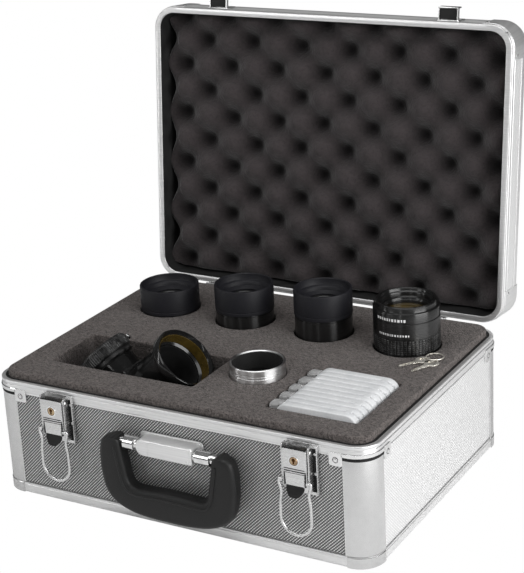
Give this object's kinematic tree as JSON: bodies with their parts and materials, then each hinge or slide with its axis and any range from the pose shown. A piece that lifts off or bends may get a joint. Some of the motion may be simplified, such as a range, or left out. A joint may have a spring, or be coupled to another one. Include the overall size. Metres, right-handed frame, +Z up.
{
  "type": "telescope eyepiece case kit",
  "caption": "Aluminium case with its lid open, holding telescope eyepieces, a Barlow lens, a star diagonal, an adapter ring and filter boxes in cut foam.",
  "frame": {"origin": "on the underside, below the middle of the case's base", "axes": "+X to the right as the latches are faced, -Y towards the latches and handle, +Z up"},
  "size_m": [0.385, 0.3677, 0.4097],
  "materials": {
    "aluminium_trim": "satin",
    "embossed_panel": "satin",
    "foam": "matte",
    "chrome_hardware": "polished",
    "brass_lock": "satin",
    "handle_plastic": "satin",
    "rubber_eyecup": "matte",
    "black_anodised": "gloss",
    "barrel_plating": "polished",
    "coated_glass": "gloss",
    "mirror_coating": "polished",
    "clear_plastic": "satin"
  },
  "bodies": {
    "base": {"base_post_front_left": "aluminium_trim", "base_post_front_right": "aluminium_trim", "base_post_back_left": "aluminium_trim", "base_post_back_right": "aluminium_trim", "base_rim_frame": "aluminium_trim", "base_bottom_frame": "aluminium_trim", "handle_bracket": "aluminium_trim", "base_front_panel": "embossed_panel", "base_back_panel": "embossed_panel", "base_left_panel": "embossed_panel", "base_right_panel": "embossed_panel", "base_bottom_panel": "embossed_panel", "base_foam": "foam", "latch_plate_left": "chrome_hardware", "hinge_base_leaf_left": "chrome_hardware", "latch_plate_right": "chrome_hardware", "hinge_base_leaf_right": "chrome_hardware"},
    "lid": {"lid_rail_front": "aluminium_trim", "lid_rail_back": "aluminium_trim", "lid_rail_left": "aluminium_trim", "lid_rail_right": "aluminium_trim", "lid_panel": "embossed_panel", "lid_foam": "foam", "lid_strike_left": "chrome_hardware", "hinge_lid_leaf_left": "chrome_hardware", "lid_strike_right": "chrome_hardware", "hinge_lid_leaf_right": "chrome_hardware"},
    "latch_left": {"latch_lever_left": "chrome_hardware"},
    "bail_left": {"latch_bail_left": "chrome_hardware"},
    "lock_left": {"lock_barrel_left": "brass_lock"},
    "latch_right": {"latch_lever_right": "chrome_hardware"},
    "bail_right": {"latch_bail_right": "chrome_hardware"},
    "lock_right": {"lock_barrel_right": "brass_lock"},
    "handle": {"handle_grip": "handle_plastic", "handle_rod": "chrome_hardware"},
    "bed": {"foam_bed": "foam"},
    "eyepiece_1": {"eyepiece_1_eyecup": "rubber_eyecup", "eyepiece_1_body": "black_anodised", "eyepiece_1_nosepiece": "barrel_plating", "eyepiece_1_eye_lens": "coated_glass"},
    "eyepiece_2": {"eyepiece_2_eyecup": "rubber_eyecup", "eyepiece_2_body": "black_anodised", "eyepiece_2_nosepiece": "barrel_plating", "eyepiece_2_eye_lens": "coated_glass"},
    "eyepiece_3": {"eyepiece_3_eyecup": "rubber_eyecup", "eyepiece_3_body": "black_anodised", "eyepiece_3_nosepiece": "barrel_plating", "eyepiece_3_eye_lens": "coated_glass"},
    "barlow": {"barlow_body": "black_anodised", "barlow_lens": "coated_glass"},
    "diagonal": {"diagonal_body": "black_anodised", "diagonal_mirror": "mirror_coating"},
    "eyepiece_holder": {"diagonal_collar": "black_anodised"},
    "adapter": {"adapter_ring": "aluminium_trim"},
    "filter_1": {"filter_case_1": "clear_plastic"},
    "filter_2": {"filter_case_2": "clear_plastic"},
    "filter_3": {"filter_case_3": "clear_plastic"},
    "filter_4": {"filter_case_4": "clear_plastic"},
    "filter_5": {"filter_case_5": "clear_plastic"},
    "key_set": {"keys": "chrome_hardware"}
  },
  "joints": [
    {"name": "lid_hinge", "type": "hinge", "parent": "base", "child": "lid", "pos_m": [0, 0.144, 0.1131], "axis": [1, 0, 0], "range_deg": [0, 95.5], "deforming": ["lid_foam"]},
    {"name": "latch_left_hinge", "type": "hinge", "parent": "base", "child": "latch_left", "pos_m": [-0.1195, -0.1472, 0.104], "axis": [1, 0, 0], "range_deg": [-105, 0]},
    {"name": "bail_left_hinge", "type": "hinge", "parent": "latch_left", "child": "bail_left", "pos_m": [-0.1195, -0.1515, 0.077], "axis": [-1, 0, 0], "range_deg": [0, 180]},
    {"name": "lock_left_turn", "type": "hinge", "parent": "latch_left", "child": "lock_left", "pos_m": [-0.1195, -0.1515, 0.096], "axis": [0, 1, 0], "range_deg": [0, 90]},
    {"name": "latch_right_hinge", "type": "hinge", "parent": "base", "child": "latch_right", "pos_m": [0.1275, -0.1472, 0.104], "axis": [1, 0, 0], "range_deg": [-105, 0]},
    {"name": "bail_right_hinge", "type": "hinge", "parent": "latch_right", "child": "bail_right", "pos_m": [0.1275, -0.1515, 0.077], "axis": [-1, 0, 0], "range_deg": [0, 180]},
    {"name": "lock_right_turn", "type": "hinge", "parent": "latch_right", "child": "lock_right", "pos_m": [0.1275, -0.1515, 0.096], "axis": [0, 1, 0], "range_deg": [0, 90]},
    {"name": "handle_hinge", "type": "hinge", "parent": "base", "child": "handle", "pos_m": [0.004, -0.152, 0.082], "axis": [-1, 0, 0], "range_deg": [0, 105]},
    {"name": "bed_slide", "type": "slide", "parent": "base", "child": "bed", "axis": [0, 0, 1], "range_m": [-0.0265, 0], "stiffness_N_per_m": 400, "springref_m": 0.06},
    {"name": "eyepiece_1_lift", "type": "slide", "parent": "bed", "child": "eyepiece_1", "axis": [0, 0, -1], "range_m": [-0.12, 0]},
    {"name": "eyepiece_2_lift", "type": "slide", "parent": "bed", "child": "eyepiece_2", "axis": [0, 0, -1], "range_m": [-0.12, 0]},
    {"name": "eyepiece_3_lift", "type": "slide", "parent": "bed", "child": "eyepiece_3", "axis": [0, 0, -1], "range_m": [-0.12, 0]},
    {"name": "barlow_lift", "type": "slide", "parent": "bed", "child": "barlow", "axis": [0, 0, -1], "range_m": [-0.12, 0]},
    {"name": "diagonal_lift", "type": "slide", "parent": "bed", "child": "diagonal", "axis": [0, 0, -1], "range_m": [-0.1, 0]},
    {"name": "eyepiece_holder_turn", "type": "hinge", "parent": "diagonal", "child": "eyepiece_holder", "pos_m": [-0.1185, -0.0635, 0.1145], "axis": [-0.7071, 0, 0.7071], "continuous": true},
    {"name": "adapter_lift", "type": "slide", "parent": "base", "child": "adapter", "axis": [0, 0, -1], "range_m": [-0.05, 0]},
    {"name": "filter_1_lift", "type": "slide", "parent": "base", "child": "filter_1", "axis": [0, 0, -1], "range_m": [-0.07, 0]},
    {"name": "filter_2_lift", "type": "slide", "parent": "base", "child": "filter_2", "axis": [0, 0, -1], "range_m": [-0.07, 0]},
    {"name": "filter_3_lift", "type": "slide", "parent": "base", "child": "filter_3", "axis": [0, 0, -1], "range_m": [-0.07, 0]},
    {"name": "filter_4_lift", "type": "slide", "parent": "base", "child": "filter_4", "axis": [0, 0, -1], "range_m": [-0.07, 0]},
    {"name": "filter_5_lift", "type": "slide", "parent": "base", "child": "filter_5", "axis": [0, 0, -1], "range_m": [-0.07, 0]},
    {"name": "keys_lift", "type": "slide", "parent": "base", "child": "key_set", "axis": [0, 0, -1], "range_m": [-0.05, 0]}
  ],
  "couplings": [
    {"joint": "bed_slide", "follows": "lid_hinge", "m_per_rad": -0.0156}
  ]
}
